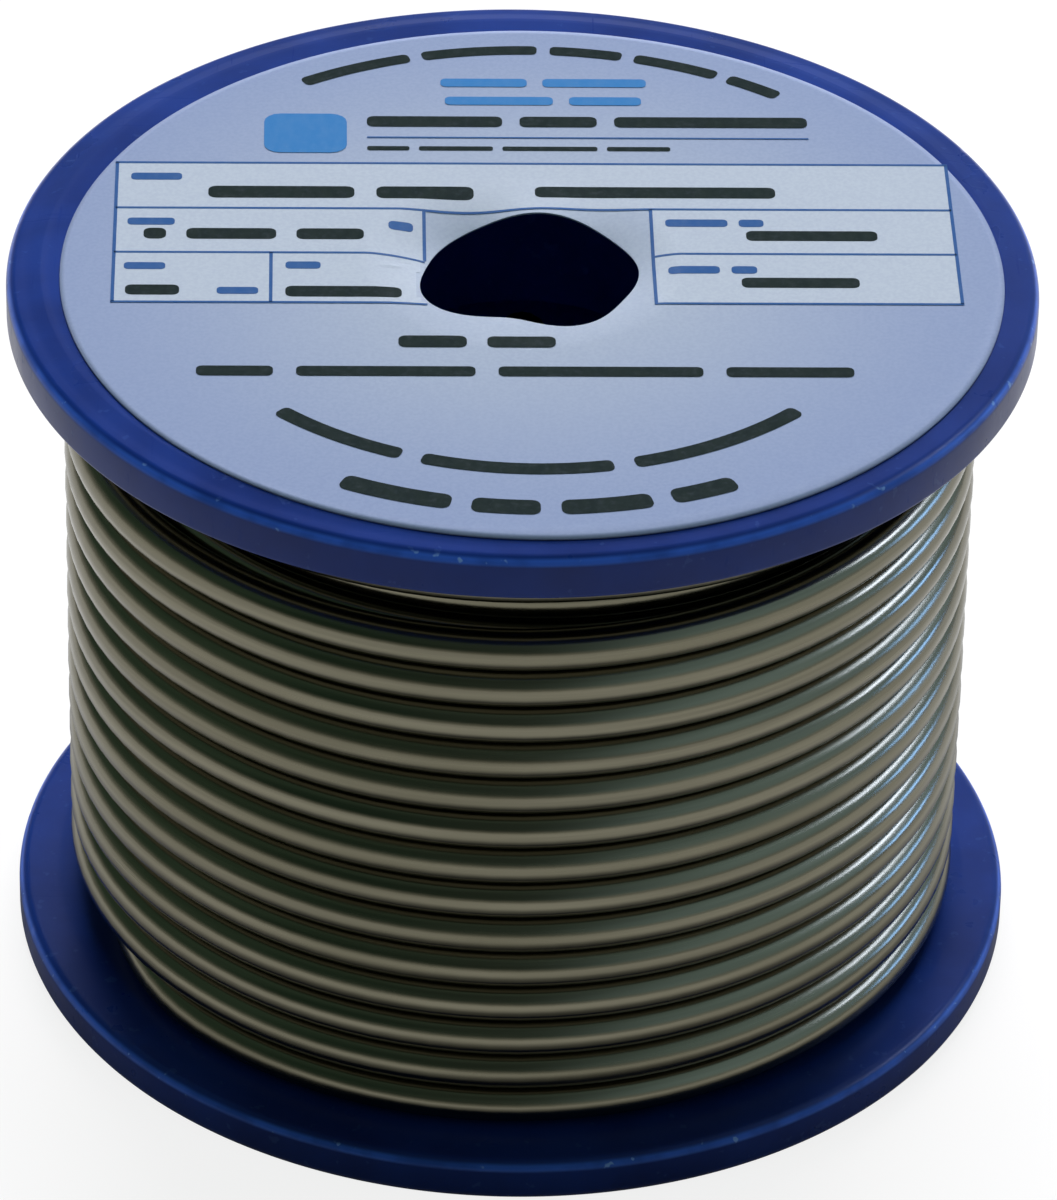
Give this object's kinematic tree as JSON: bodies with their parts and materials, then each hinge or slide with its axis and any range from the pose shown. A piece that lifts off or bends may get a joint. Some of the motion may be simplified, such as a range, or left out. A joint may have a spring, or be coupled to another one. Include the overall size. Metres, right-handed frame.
{
  "type": "solder wire spool",
  "caption": "Plastic reel of two flanges and a barrel, wound with level layers of cored solder wire, with a round paper label on its upper flange.",
  "frame": {"origin": "middle of the lower flange's outer face, on the reel's axis", "axes": "+Z along the reel's axis, from the lower flange to the labelled flange; -Y towards the side that the picture shows"},
  "size_m": [0.05, 0.05, 0.0385],
  "materials": {
    "reel_plastic": "blue moulded plastic, satin",
    "label_paper": "pale blue paper, matt",
    "solder": "drawn tin-lead solder, smooth",
    "flux": "amber rosin"
  },
  "bodies": {
    "root": {"upper_flange": "reel_plastic", "lower_flange": "reel_plastic", "barrel": "reel_plastic", "face_label": "label_paper", "winding_inner_layers": "solder", "winding_outer_layer": "solder", "wire_start_tail": "solder", "flux_core_1": "flux", "flux_core_2": "flux", "flux_core_3": "flux"}
  },
  "joints": []
}
